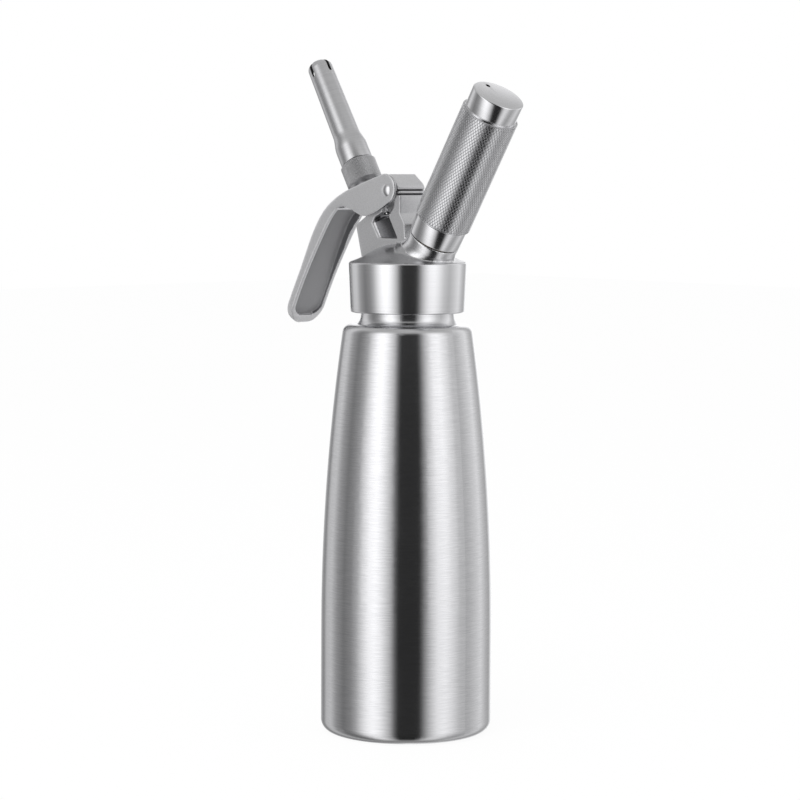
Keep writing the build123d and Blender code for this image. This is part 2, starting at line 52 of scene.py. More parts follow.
view = {
    "azimuth": 47.0,  # degrees round the bottle from the front
    "distance": 1.320,
    "sideStep": -0.0035,
    "height": 0.276,
    "tiltDown": 4.94,
    "roll": 0.25,
    "lens": 122.7,
    "sensorWidth": 36,
}


def placeCamera():
    turn = radians(view["azimuth"])
    outward = Vector((sin(turn), -cos(turn), 0))
    sideways = Vector((cos(turn), sin(turn), 0))
    cameraData = bpy.data.cameras.new("camera")
    cameraData.sensor_width = view["sensorWidth"]
    cameraData.lens = view["lens"]
    camera = bpy.data.objects.new("camera", cameraData)
    bpy.context.scene.collection.objects.link(camera)
    camera.location = (outward * view["distance"] + sideways * view["sideStep"]
                       + Vector((0, 0, view["height"])))
    aim = (Matrix.Rotation(turn, 3, "Z") @ Matrix.Rotation(radians(90 - view["tiltDown"]), 3, "X")
           @ Matrix.Rotation(radians(view["roll"]), 3, "Z"))
    camera.rotation_euler = aim.to_euler()
    bpy.context.scene.camera = camera


placeCamera()
print("camera placed")


def newMaterial(name):
    material = bpy.data.materials.new(name)
    material.use_nodes = True
    return material, material.node_tree, material.node_tree.nodes["Principled BSDF"]


def addNode(tree, kind, **settings):
    node = tree.nodes.new(kind)
    for key, value in settings.items():
        setattr(node, key, value)
    return node


def setInputs(node, **values):
    for key, value in values.items():
        node.inputs[key.replace("_", " ")].default_value = value


def addMath(tree, operation, first, second=None):
    # first and second are sockets or plain numbers
    node = addNode(tree, "ShaderNodeMath", operation=operation)
    for place, source in enumerate((first, second)):
        if isinstance(source, (int, float)):
            node.inputs[place].default_value = source
        elif source:
            tree.links.new(source, node.inputs[place])
    return node.outputs[0]


def addRange(tree, value, span, result=(0.0, 1.0), easing="LINEAR"):
    node = addNode(tree, "ShaderNodeMapRange", interpolation_type=easing)
    setInputs(node, From_Min=span[0], From_Max=span[1], To_Min=result[0], To_Max=result[1])
    tree.links.new(value, node.inputs["Value"])
    return node.outputs["Result"]


def addMix(tree, share, first, second):
    # first and second are sockets or plain colours, which a Mix node takes at 6 and 7
    node = addNode(tree, "ShaderNodeMix", data_type="RGBA")
    tree.links.new(share, node.inputs[0])
    for place, source in ((6, first), (7, second)):
        if isinstance(source, tuple):
            node.inputs[place].default_value = (*source, 1)
        else:
            tree.links.new(source, node.inputs[place])
    return node.outputs[2]


def addBump(tree, height, strength, distance, normal=None):
    node = addNode(tree, "ShaderNodeBump")
    setInputs(node, Strength=strength, Distance=distance)
    tree.links.new(height, node.inputs["Height"])
    if normal:
        tree.links.new(normal, node.inputs["Normal"])
    return node.outputs["Normal"]


def newGroup(name, inputs, outputs):
    group = bpy.data.node_groups.new(name, "ShaderNodeTree")
    for label, kind, value in inputs:
        socket = group.interface.new_socket(label, in_out="INPUT", socket_type=kind)
        if value is not None:
            socket.default_value = value
    for label, kind in outputs:
        group.interface.new_socket(label, in_out="OUTPUT", socket_type=kind)
    return group, addNode(group, "NodeGroupInput"), addNode(group, "NodeGroupOutput")


pattern = {
    "fineRoughness": 0.65,
    "smudgeRoughness": 0.5,
    "smudgeDetail": 3.0,
    "turnScale": 0.01,  # metres of pattern to a radian round the axis
    "smudgeSpan": (0.25, 0.75),
    "grainSpan": (0.3, 0.7),
    "grainHeight": 0.0001,
    "knurlHeight": 0.0004,
    "brushTurn": 0.25,  # a quarter turn lays the brushing round the bottle
}
# what a finish has unless it says otherwise
plainFinish = {
    "detail": 3.0,
    "smudgeSize": 40.0,
    "metallic": 1.0,
    "turned": False,
    "knurl": None,
    "anisotropy": 0.0,
}


def buildGrainGroup():
    # brush lines, turning marks or cast grain: the stretch of the noise decides which
    group, given, made = newGroup(
        "surfaceGrain",
        [("Vector", "NodeSocketVector", None), ("Stretch", "NodeSocketVector", (1, 1, 1)),
         ("Detail", "NodeSocketFloat", plainFinish["detail"]),
         ("Smudge Size", "NodeSocketFloat", plainFinish["smudgeSize"])],
        [("Grain", "NodeSocketFloat"), ("Smudge", "NodeSocketFloat")])
    stretch = addNode(group, "ShaderNodeVectorMath", operation="MULTIPLY")
    fine = addNode(group, "ShaderNodeTexNoise")
    setInputs(fine, Scale=1.0, Roughness=pattern["fineRoughness"])
    smudge = addNode(group, "ShaderNodeTexNoise")
    setInputs(smudge, Detail=pattern["smudgeDetail"], Roughness=pattern["smudgeRoughness"])
    link = group.links.new
    link(given.outputs["Vector"], stretch.inputs[0])
    link(given.outputs["Stretch"], stretch.inputs[1])
    link(stretch.outputs[0], fine.inputs["Vector"])
    link(given.outputs["Detail"], fine.inputs["Detail"])
    link(given.outputs["Vector"], smudge.inputs["Vector"])
    link(given.outputs["Smudge Size"], smudge.inputs["Scale"])
    link(fine.outputs["Fac"], made.inputs["Grain"])
    link(smudge.outputs["Fac"], made.inputs["Smudge"])
    return group


def buildAxisGroup():
    # distance from the Z axis, turn round it and height, for marks left by a lathe
    group, given, made = newGroup(
        "aroundAxis", [("Vector", "NodeSocketVector", None)],
        [("Lathe", "NodeSocketVector"), ("Radius", "NodeSocketFloat"),
         ("Turn", "NodeSocketFloat"), ("Height", "NodeSocketFloat")])
    parts = addNode(group, "ShaderNodeSeparateXYZ")
    group.links.new(given.outputs["Vector"], parts.inputs[0])
    across, along, height = parts.outputs
    squares = addMath(group, "ADD", addMath(group, "MULTIPLY", across, across),
                      addMath(group, "MULTIPLY", along, along))
    radius = addMath(group, "SQRT", squares)
    turn = addMath(group, "ARCTAN2", along, across)
    lathe = addNode(group, "ShaderNodeCombineXYZ")
    wound = addMath(group, "MULTIPLY", turn, pattern["turnScale"])
    for place, source in enumerate((radius, wound, height)):
        group.links.new(source, lathe.inputs[place])
    for label, source in (("Lathe", lathe.outputs[0]), ("Radius", radius), ("Turn", turn),
                          ("Height", height)):
        group.links.new(source, made.inputs[label])
    return group


def buildKnurlGroup():
    # fine crossed grooves between two heights on a turned band
    group, given, made = newGroup(
        "fineKnurl",
        [("Turn", "NodeSocketFloat", None), ("Height", "NodeSocketFloat", None),
         ("Teeth", "NodeSocketFloat", 60.0), ("Pitch", "NodeSocketFloat", 0.001),
         ("Bottom", "NodeSocketFloat", 0.0), ("Top", "NodeSocketFloat", 0.01)],
        [("Relief", "NodeSocketFloat"), ("Band", "NodeSocketFloat")])
    turn, height, teeth, pitch, bottom, top = given.outputs[:6]
    around = addMath(group, "MULTIPLY", addMath(group, "MULTIPLY", turn, 1 / (2 * pi)), teeth)
    up = addMath(group, "DIVIDE", height, pitch)
    rising = addMath(group, "PINGPONG", addMath(group, "ADD", around, up), 0.5)
    falling = addMath(group, "PINGPONG", addMath(group, "SUBTRACT", around, up), 0.5)
    band = addMath(group, "MULTIPLY", addMath(group, "GREATER_THAN", height, bottom),
                   addMath(group, "LESS_THAN", height, top))
    relief = addMath(group, "MULTIPLY", addMath(group, "ADD", rising, falling), band)
    group.links.new(relief, made.inputs["Relief"])
    group.links.new(band, made.inputs["Band"])
    return group


grainGroup = buildGrainGroup()
axisGroup = buildAxisGroup()
knurlGroup = buildKnurlGroup()


def finishMaterial(name, finish, place=None):
    # place turns the pattern onto a piece's own axis
    finish = {**plainFinish, **finish}
    material, tree, shader = newMaterial(name)
    link = tree.links.new
    source = addNode(tree, "ShaderNodeTexCoord").outputs["Object"]
    if place:
        turn = addNode(tree, "ShaderNodeMapping", vector_type="TEXTURE")
        setInputs(turn, Location=place.to_translation(), Rotation=place.to_euler())
        link(source, turn.inputs["Vector"])
        source = turn.outputs["Vector"]
    if finish["turned"] or finish["knurl"]:
        around = addNode(tree, "ShaderNodeGroup", node_tree=axisGroup)
        link(source, around.inputs["Vector"])
        source = around.outputs["Lathe"]
    grain = addNode(tree, "ShaderNodeGroup", node_tree=grainGroup)
    setInputs(grain, Stretch=finish["stretch"], Detail=finish["detail"],
              Smudge_Size=finish["smudgeSize"])
    link(source, grain.inputs["Vector"])
    link(addRange(tree, grain.outputs["Smudge"], pattern["smudgeSpan"], finish["roughness"]),
         shader.inputs["Roughness"])
    share = addRange(tree, grain.outputs["Grain"], pattern["grainSpan"])
    link(addMix(tree, share, finish["dark"], finish["light"]), shader.inputs["Base Color"])
    normal = addBump(tree, grain.outputs["Grain"], finish["bump"], pattern["grainHeight"])
    if finish["knurl"]:
        knurl = addNode(tree, "ShaderNodeGroup", node_tree=knurlGroup)
        setInputs(knurl, **finish["knurl"])
        link(around.outputs["Turn"], knurl.inputs["Turn"])
        link(around.outputs["Height"], knurl.inputs["Height"])
        normal = addBump(tree, knurl.outputs["Relief"], finish["knurlDepth"],
                         pattern["knurlHeight"], normal)
    link(normal, shader.inputs["Normal"])
    setInputs(shader, Metallic=finish["metallic"])
    if finish["anisotropy"]:
        setInputs(shader, Anisotropic=finish["anisotropy"],
                  Anisotropic_Rotation=pattern["brushTurn"])
        tangent = addNode(tree, "ShaderNodeTangent", direction_type="RADIAL", axis="Z")
        link(tangent.outputs["Tangent"], shader.inputs["Tangent"])
    return material


studio = {
    "tentRadius": 2.5,
    "tentBottom": -3.0,
    "tentTop": 3.2,
    "tentSides": 96,
    # heights are degrees above the middle of the tent
    "roof": {"from": 26, "full": 56, "level": 0.52},
    "ground": {"from": -56, "full": -80, "level": 0.30},
    "lift": {"from": -45, "full": 12, "levels": (0.75, 1.14)},
    # brightness of the tent's wall, by degrees round from the camera
    "wall": [
        (-180, 1.00), (-170, 0.62), (-158, 0.36), (-148, 0.27), (-136, 0.60), (-122, 0.64),
        (-108, 0.34), (-93, 0.20), (-80, 0.28), (-71, 0.46), (-62, 0.84), (-53, 1.18),
        (-44, 1.32), (-35, 1.12), (-21, 0.50), (-16, 0.16), (-11, 0.03), (17, 0.03),
        (21, 0.12), (27, 0.40), (34, 0.72), (43, 1.04), (54, 1.12), (64, 0.93),
        (76, 0.64), (90, 0.50), (108, 0.70), (120, 0.84), (136, 0.55), (149, 0.42),
        (162, 0.95), (180, 1.25)],
    "blueTint": 1.01,
    "floorSize": 8.0,
    "floorLevel": -0.0002,
    "floorColor": (0.92, 0.92, 0.92, 1),
    "floorRoughness": 0.9,
    "floorGlow": 0.95,
    "airLevel": 0.8,  # what the air gives to matte surfaces
    "lampSize": 1.2,
    "lampPower": 18.0,
    "lampPlace": (0.5, -0.9, 1.9),
    "lampAim": (0, 0, 0.15),
}


def fadeShare(tree, rise, fade):
    # 0 where the fade starts and 1 where it is full
    return addRange(tree, rise, (radians(fade["from"]), radians(fade["full"])),
                    easing="SMOOTHSTEP")


def tentMaterial():
    material, tree, shader = newMaterial("tentCloth")
    tree.nodes.remove(shader)
    link = tree.links.new
    place = addNode(tree, "ShaderNodeTexCoord").outputs["Object"]
    turn = addNode(tree, "ShaderNodeMapping")
    setInputs(turn, Rotation=(0, 0, radians(90 - view["azimuth"])))
    around = addNode(tree, "ShaderNodeTexGradient", gradient_type="RADIAL")
    ramp = addNode(tree, "ShaderNodeValToRGB")
    stops = ramp.color_ramp.elements
    for number, (angle, level) in enumerate(studio["wall"]):
        position = 0.5 + angle / 360
        stop = stops[number] if number < 2 else stops.new(position)  # a new ramp has two stops
        stop.position = position
        stop.color = (level, level, level * studio["blueTint"], 1)
    axes = addNode(tree, "ShaderNodeGroup", node_tree=axisGroup)
    link(place, axes.inputs["Vector"])
    rise = addMath(tree, "ARCTAN2", axes.outputs["Height"], axes.outputs["Radius"])
    link(place, turn.inputs["Vector"])
    link(turn.outputs["Vector"], around.inputs["Vector"])
    link(around.outputs["Fac"], ramp.inputs["Fac"])
    lift = studio["lift"]
    lifted = addNode(tree, "ShaderNodeVectorMath", operation="SCALE")
    link(ramp.outputs["Color"], lifted.inputs[0])
    link(addRange(tree, rise, (radians(lift["from"]), radians(lift["full"])), lift["levels"]),
         lifted.inputs["Scale"])
    color = lifted.outputs[0]
    for end in ("roof", "ground"):
        color = addMix(tree, fadeShare(tree, rise, studio[end]), color,
                       (studio[end]["level"],) * 3)
    glow = addNode(tree, "ShaderNodeEmission")
    link(color, glow.inputs["Color"])
    link(glow.outputs["Emission"], tree.nodes["Material Output"].inputs["Surface"])
    return material


def buildTent():
    tent = bmesh.new()
    height = studio["tentTop"] - studio["tentBottom"]
    bmesh.ops.create_cone(tent, cap_ends=True, segments=studio["tentSides"],
                          radius1=studio["tentRadius"], radius2=studio["tentRadius"],
                          depth=height,
                          matrix=Matrix.Translation((0, 0, studio["tentBottom"] + height / 2)))
    wall = asObject(tent, "lightTent")
    wall.data.materials.append(tentMaterial())
    for rays in ("camera", "diffuse", "shadow", "transmission"):
        setattr(wall, "visible_" + rays, False)


def buildFloor():
    floor = bmesh.new()
    bmesh.ops.create_grid(floor, x_segments=1, y_segments=1, size=studio["floorSize"] / 2)
    ground = asObject(floor, "floor")
    ground.location.z = studio["floorLevel"]
    material, tree, shader = newMaterial("paleFloor")
    link = tree.links.new
    setInputs(shader, Base_Color=studio["floorColor"], Roughness=studio["floorRoughness"])
    glow = addNode(tree, "ShaderNodeEmission")
    setInputs(glow, Color=(1, 1, 1, 1))
    path = addNode(tree, "ShaderNodeLightPath")
    blend = addNode(tree, "ShaderNodeMixShader")
    link(addMath(tree, "MULTIPLY", path.outputs["Is Camera Ray"], studio["floorGlow"]),
         blend.inputs["Fac"])
    link(shader.outputs["BSDF"], blend.inputs[1])
    link(glow.outputs["Emission"], blend.inputs[2])
    link(blend.outputs["Shader"], tree.nodes["Material Output"].inputs["Surface"])
    ground.data.materials.append(material)
    ground.visible_glossy = False


def buildWorld():
    world = bpy.data.worlds.new("studioAir")
    world.use_nodes = True
    bpy.context.scene.world = world
    tree = world.node_tree
    path = addNode(tree, "ShaderNodeLightPath").outputs
    seen = addMath(tree, "MAXIMUM", addMath(tree, "MAXIMUM", path["Is Camera Ray"],
                                            path["Is Glossy Ray"]),
                   path["Is Transmission Ray"])
    background = tree.nodes["Background"]
    setInputs(background, Color=(1, 1, 1, 1))
    tree.links.new(addRange(tree, seen, (0.0, 1.0), (studio["airLevel"], 1.0)),
                   background.inputs["Strength"])


def buildLamp():
    lampData = bpy.data.lights.new("overheadLamp", "AREA")
    lampData.size = studio["lampSize"]
    lampData.energy = studio["lampPower"]
    lamp = bpy.data.objects.new("overheadLamp", lampData)
    lamp.location = studio["lampPlace"]
    lamp.visible_glossy = False  # metal mirrors the tent alone
    aim = Vector(studio["lampAim"]) - lamp.location
    lamp.rotation_euler = aim.to_track_quat("-Z", "Y").to_euler()
    bpy.context.scene.collection.objects.link(lamp)


meshing = {
    "arcSteps": 5,
    "turnSteps": 192,
    "spunMerge": 0.001,
    "cadMerge": 0.002,
    "crispAngle": 35,  # degrees between faces that stay a crisp edge
}


def sideOutline(bm, corners, closed=True):
    # corners are (radius, height) in mm; a third number rounds that corner
    points = [bm.verts.new((corner[0] * mm, 0, corner[1] * mm)) for corner in corners]
    for first, second in zip(points, points[1:]):
        bm.edges.new((first, second))
    if closed:
        bm.edges.new((points[-1], points[0]))
    for point, corner in zip(points, corners):
        if len(corner) > 2:
            bmesh.ops.bevel(bm, geom=[point], offset=corner[2] * mm,
                            segments=meshing["arcSteps"], profile=0.5, affect="VERTICES",
                            material=-1)


def spunMesh(corners, steps=meshing["turnSteps"]):
    bm = bmesh.new()
    sideOutline(bm, corners)
    bmesh.ops.spin(bm, geom=bm.verts[:] + bm.edges[:], cent=(0, 0, 0), axis=(0, 0, 1),
                   steps=steps, angle=2 * pi, use_merge=True)
    bmesh.ops.remove_doubles(bm, verts=bm.verts, dist=meshing["spunMerge"] * mm)
    bmesh.ops.recalc_face_normals(bm, faces=bm.faces)
    return bm


def asObject(bm, name):
    mesh = bpy.data.meshes.new(name)
    bm.to_mesh(mesh)
    bm.free()
    piece = bpy.data.objects.new(name, mesh)
    bpy.context.scene.collection.objects.link(piece)
    return piece


def bake(piece):
    # swaps the mesh for what its modifiers make of it
    shape = piece.evaluated_get(bpy.context.evaluated_depsgraph_get())
    mesh = bpy.data.meshes.new_from_object(shape)
    piece.modifiers.clear()
    piece.data = mesh


def combine(piece, tool, operation):
    # cuts or trims the piece with a tool that isn't kept
    change = piece.modifiers.new("change", "BOOLEAN")
    change.operation = operation
    change.solver = "EXACT"
    change.object = tool
    bake(piece)
    bpy.data.objects.remove(tool)


def smoothOut(piece, rounds, weightOf=None):
    smooth = piece.modifiers.new("smooth", "SMOOTH")
    smooth.factor = 0.5
    smooth.iterations = rounds
    if weightOf:
        chosen = piece.vertex_groups.new(name="chosen")
        for vertex in piece.data.vertices:
            weight = weightOf(vertex)
            if weight > 0:
                chosen.add([vertex.index], weight, "REPLACE")
        smooth.vertex_group = "chosen"
    bake(piece)
    piece.vertex_groups.clear()


def soften(piece, voxel, rounds, weightOf=None):
    # an even grid of small faces, then smoothing that rounds every edge a little
    grid = piece.modifiers.new("grid", "REMESH")
    grid.mode = "VOXEL"
    grid.voxel_size = voxel * mm
    grid.use_smooth_shade = True
    bake(piece)
    smoothOut(piece, rounds, weightOf)


def softenEdges(piece, limit=meshing["crispAngle"]):
    # smooth shading that stays crisp at edges sharper than the limit
    for face in piece.data.polygons:
        face.use_smooth = True
    piece.data.set_sharp_from_angle(angle=radians(limit))


def fit(piece, body, finish, stands=(), place=None):
    if place:
        piece.data.transform(place)
    piece.data.materials.clear()
    piece.data.materials.append(finish)
    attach(piece, body)
    if stands:
        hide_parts(*stands)
    return piece


def jointFrame(jointName):
    # the frame whose Z runs along a tilted joint's axis
    joint = next(entry for entry in frame["joints"] if entry["name"] == jointName)
    axis = joint["axis"]
    return Matrix.Translation(joint["pos_m"]) @ Matrix.Rotation(atan2(axis[0], axis[2]), 4, "Y")


def mergedCopy(nodeName):
    bm = bmesh.new()
    bm.from_mesh(frame["nodes"][nodeName].data)
    bmesh.ops.remove_doubles(bm, verts=bm.verts, dist=meshing["cadMerge"] * mm)
    return bm


buildTent()
buildFloor()
buildWorld()
buildLamp()
bpy.context.scene.view_settings.view_transform = "Standard"
print("studio built")

valveFrame = jointFrame("nozzle_turn")
holderFrame = jointFrame("holder_turn")

thread = {
    "sunk": 0.15,
    "halfWidth": 0.28,  # share of the pitch
    "turnSteps": 72,
    "crispAngle": 25,
}


def screwThread(name, ridge, body, finish, place=None):
    # a low ridge that climbs one pitch a turn, its root sunk into the core
    bm = bmesh.new()
    root = ridge["radius"] - thread["sunk"]
    crest = ridge["radius"] + ridge["height"]
    width = ridge["pitch"] * thread["halfWidth"]
    start = ridge["start"]
    sideOutline(bm, [(root, start - width), (crest, start - width / 3),
                     (crest, start + width / 3), (root, start + width)], closed=False)
    steps = round(ridge["turns"] * thread["turnSteps"])
    bmesh.ops.spin(bm, geom=bm.verts[:] + bm.edges[:], cent=(0, 0, 0), axis=(0, 0, 1),
                   steps=steps, angle=2 * pi * ridge["turns"],
                   dvec=(0, 0, ridge["pitch"] * mm * ridge["turns"] / steps))
    bmesh.ops.recalc_face_normals(bm, faces=bm.faces)
    piece = asObject(bm, name)
    softenEdges(piece, thread["crispAngle"])
    return fit(piece, body, finish, place=place)


bottle = {
    "finish": {
        "dark": (0.66, 0.66, 0.67),
        "light": (0.80, 0.80, 0.81),
        "roughness": (0.13, 0.19),
        "stretch": (130, 130, 3400),
        "detail": 4.0,
        "smudgeSize": 30.0,
        "bump": 0.07,
        "anisotropy": 0.8,
    },
    "ringFinish": {
        "dark": (0.74, 0.74, 0.75),
        "light": (0.80, 0.80, 0.81),
        "roughness": (0.12, 0.17),
        "stretch": (900, 20, 2600),
        "bump": 0.04,
        "turned": True,
    },
    "neckThread": {"radius": 22.4, "height": 0.32, "pitch": 4.0, "start": 206.6, "turns": 2.6},
}

bottleSteel = finishMaterial("bottleSteel", bottle["finish"])
ringSteel = finishMaterial("ringSteel", bottle["ringFinish"])
screwThread("neckThread", bottle["neckThread"], "bottle", ringSteel)
print("neck thread cut")

skirt = {
    "bottom": 204.7,
    "top": 228.9,
    "bottomRadius": 27.6,
    "topRadius": 28.6,
    "boreRadius": 22.8,
    "ceiling": 221.6,
    "coreRadius": 27.4,
    "edge": 0.8,
    "boreEdge": 0.4,
    "lip": 0.08,
    "turnSteps": 256,
    "finish": {
        "dark": (0.76, 0.76, 0.77),
        "light": (0.82, 0.82, 0.83),
        "roughness": (0.13, 0.18),
        "stretch": (700, 8, 2400),
        "bump": 0.03,
        "turned": True,
    },
}
casting = {
    "voxel": 0.33,
    "smoothing": 7,
    "kept": 0.62,  # share of the fine mesh kept after smoothing
    "envelope": {"reach": 60, "top": 300, "overSkirt": 0.1, "turnSteps": 128},
    "dome": [(28.6, 228.9), (22.0, 231.8), (16.2, 234.5), (8.0, 237.5), (0.0, 238.5)],
    "domeSkin": 0.6,
    "domeFillet": 1.8,
    "domeSlope": 0.5,
    "bossRadii": (11.8, 13.4),
    "bossSpan": (-12, 0.5),
    "bossSide": 6,
    "grooves": (261.3, 264.0),
    "grooveFace": 2.48,
    "grooveDepth": 1.3,
    "grooveBehind": 0.3,
    "grooveMargin": 0.25,
    "grooveClear": 0.6,
    "innerReach": 9.2,
    "innerWidth": 7.6,
    "innerFloor": 240.5,
    "finish": {
        "dark": (0.66, 0.66, 0.67),
        "light": (0.82, 0.82, 0.83),
        "roughness": (0.36, 0.45),
        "stretch": (2200, 2200, 2200),
        "detail": 2.0,
        "bump": 0.16,
        "metallic": 0.90,
    },
    "domeFinish": {
        "dark": (0.50, 0.50, 0.51),
        "light": (0.62, 0.62, 0.63),
        "roughness": (0.26, 0.34),
        "stretch": (1500, 1500, 1500),
        "detail": 2.0,
        "bump": 0.06,
    },
    # painted shade: a dark cast colour for the faces inside the tower's window and in the
    # knuckle's grooves, where shade falls
    "innerShadeFinish": {
        "dark": (0.20, 0.20, 0.21),
        "light": (0.30, 0.30, 0.31),
        "roughness": (0.40, 0.50),
        "stretch": (1800, 1800, 1800),
        "bump": 0.20,
        "metallic": 0.90,
    },
    "bossFinish": {
        "dark": (0.70, 0.70, 0.71),
        "light": (0.82, 0.82, 0.83),
        "roughness": (0.15, 0.22),
        "stretch": (1500, 1500, 1500),
        "detail": 2.0,
        "bump": 0.06,
    },
}


def buildSkirt():
    bore, top = skirt["boreRadius"], skirt["top"]
    piece = asObject(spunMesh([
        (bore, skirt["bottom"], skirt["boreEdge"]),
        (skirt["bottomRadius"], skirt["bottom"], skirt["edge"]),
        (skirt["topRadius"], top, skirt["edge"]), (skirt["coreRadius"], top + skirt["lip"]),
        (skirt["coreRadius"], skirt["ceiling"]), (bore, skirt["ceiling"])],
        steps=skirt["turnSteps"]), "capSkirt")
    softenEdges(piece)
    return fit(piece, "head", finishMaterial("skirtSteel", skirt["finish"]))


def inGrooves(point, margin):
    low, high = casting["grooves"]
    return (low - margin < point.z / mm < high + margin
            and point.x / mm > casting["grooveFace"] - casting["grooveDepth"] - margin)


def awayFromGrooves(vertex):
    return 0.0 if inGrooves(vertex.co, casting["grooveClear"]) else 1.0


def domeHeight(radius):
    for (outer, low), (inner, high) in zip(casting["dome"], casting["dome"][1:]):
        if radius >= inner:
            return low + (high - low) * (outer - radius) / (outer - inner)
    return casting["dome"][-1][1]


def castingZone(face, towardBoss, towardStem):
    # 0 satin casting, 1 dome, 2 painted shade on the faces inside and in the grooves, 3 boss of
    # the port
    center = face.center
    besideHolder = (towardBoss @ center) / mm
    besideStem = (towardStem @ center) / mm
    near, far = casting["bossRadii"]
    low, high = casting["bossSpan"]
    if (near < besideHolder.xy.length < far and low < besideHolder.z < high
            and center.x > casting["bossSide"] * mm):
        return 3
    above = center.z / mm - domeHeight(center.xy.length / mm)
    if above < casting["domeSkin"] or (above < casting["domeFillet"]
                                       and face.normal.z > casting["domeSlope"]):
        return 1
    # faces inside the window and in the grooves get the painted shade
    inside = (besideStem.xy.length < casting["innerReach"]
              and abs(center.y) < casting["innerWidth"] * mm
              and center.z > casting["innerFloor"] * mm)
    sunk = (inGrooves(center, casting["grooveMargin"])
            and center.x / mm < casting["grooveFace"] - casting["grooveBehind"])
    return 2 if inside or sunk else 0


def buildCasting():
    # the casting's own shape inside the skirt, with every edge softened
    core = asObject(mergedCopy("head_casting"), "headCore")
    reach, far, top = skirt["coreRadius"], casting["envelope"]["reach"], casting["envelope"]["top"]
    step = skirt["top"] + casting["envelope"]["overSkirt"]
    envelope = asObject(spunMesh([
        (0, skirt["ceiling"]), (reach, skirt["ceiling"]), (reach, step), (far, step), (far, top),
        (0, top)], steps=casting["envelope"]["turnSteps"]), "envelope")
    combine(core, envelope, "INTERSECT")
    soften(core, casting["voxel"], casting["smoothing"], awayFromGrooves)
    thinner = core.modifiers.new("thinner", "DECIMATE")
    thinner.ratio = casting["kept"]
    bake(core)
    satin = finishMaterial("castSatin", casting["finish"])
    fit(core, "head", satin, ["head_casting"])
    for name, finish in (("domeSatin", "domeFinish"), ("innerCastShade", "innerShadeFinish"),
                         ("bossSteel", "bossFinish")):
        core.data.materials.append(finishMaterial(name, casting[finish]))
    towardBoss, towardStem = holderFrame.inverted(), valveFrame.inverted()
    for face in core.data.polygons:
        face.material_index = castingZone(face, towardBoss, towardStem)
    return core


buildSkirt()
buildCasting()
print("head shaped")

lever = {
    "voxel": 0.42,
    "smoothing": 4,
    "outerSmoothing": 34,
    "pivot": (-4.318, 263.607),
    "width": 21.6,
    "rim": 2.2,
    "faceWay": (0.9, 0, -0.44),  # the way the sunk panel faces
    "handleStart": -30,
    "handleFade": 8,
    "outerTurn": -0.1,
    "outerFace": 0.35,
    "channelFloor": [(-38.4, -8.9), (-41.3, -9.9), (-50.3, -20.1), (-59.8, -38.1),
                     (-72.9, -62.7)],
    "panelDepth": 1.2,
    "panelTurn": 0.4,
    "panelMargin": 0.7,
    "wallHeight": 3.2,
    "wallTurn": -0.5,
    "edgeStart": -40.0,
    "edgeTurn": 0.8,
    "finish": {
        "dark": (0.76, 0.76, 0.77),
        "light": (0.92, 0.92, 0.93),
        "metallic": 0.86,
        "roughness": (0.34, 0.43),
        "stretch": (2200, 2200, 2200),
        "detail": 2.0,
        "bump": 0.14,
    },
    "panelFinish": {
        "dark": (0.30, 0.30, 0.31),
        "light": (0.36, 0.36, 0.37),
        "metallic": 0.2,
        "roughness": (0.5, 0.6),
        "stretch": (3000, 3000, 3000),
        "detail": 2.0,
        "bump": 0.2,
    },
    # painted shade: a dark colour on the channel's inner walls, where shade falls
    "wallShadeFinish": {
        "dark": (0.14, 0.14, 0.15),
        "light": (0.20, 0.20, 0.21),
        "metallic": 0.3,
        "roughness": (0.45, 0.55),
        "stretch": (3000, 3000, 3000),
        "detail": 2.0,
        "bump": 0.2,
    },
    # smoother edges near the pin, with a darker colour that is painted shade for the gap round the
    # ear
    "edgeShadeFinish": {
        "dark": (0.56, 0.56, 0.57),
        "light": (0.68, 0.68, 0.69),
        "roughness": (0.18, 0.26),
        "stretch": (2200, 2200, 2200),
        "detail": 2.0,
        "bump": 0.08,
    },
}
leverFace = Vector(lever["faceWay"])


def channelDepth(point):
    # distance from the channel's floor line in the side view, in mm
    spot = Vector((point.x / mm - lever["pivot"][0], point.z / mm - lever["pivot"][1]))
    floor = [Vector(corner) for corner in lever["channelFloor"]]
    reaches = []
    for first, second in zip(floor, floor[1:]):
        along = second - first
        share = max(0.0, min(1.0, (spot - first).dot(along) / along.length_squared))
        reaches.append((spot - first - along * share).length)
    return min(reaches)


def outerShare(vertex):
    # how much the handle's outer side is rounded: all of it past the fade, none inside
    sideways = vertex.normal.y * (1 if vertex.co.y > 0 else -1)
    if sideways <= lever["outerTurn"] or vertex.normal.dot(leverFace) >= lever["outerFace"]:
        return 0.0
    start = lever["handleStart"] * mm + lever["pivot"][0] * mm
    return min(1.0, max(0.0, (start - vertex.co.x) / (lever["handleFade"] * mm)))


def leverZone(face, inside):
    # 0 satin lever, 1 sunk panel, 2 wall round the panel with painted shade, 3 smoother edges near
    # the pin with a darker colour as painted shade of the gap round the ear
    depth = channelDepth(face.center)
    inwards = face.normal.y * (1 if face.center.y > 0 else -1)
    if abs(face.center.y) < inside:
        if depth < lever["panelDepth"] and face.normal.dot(leverFace) > lever["panelTurn"]:
            return 1
        # the channel's inner walls get the painted shade
        if depth < lever["wallHeight"] and inwards < lever["wallTurn"]:
            return 2
    # edges near the pin get the darker colour of the painted shade
    nearPin = face.center.x > lever["edgeStart"] * mm
    return 3 if nearPin and abs(face.normal.y) < lever["edgeTurn"] else 0


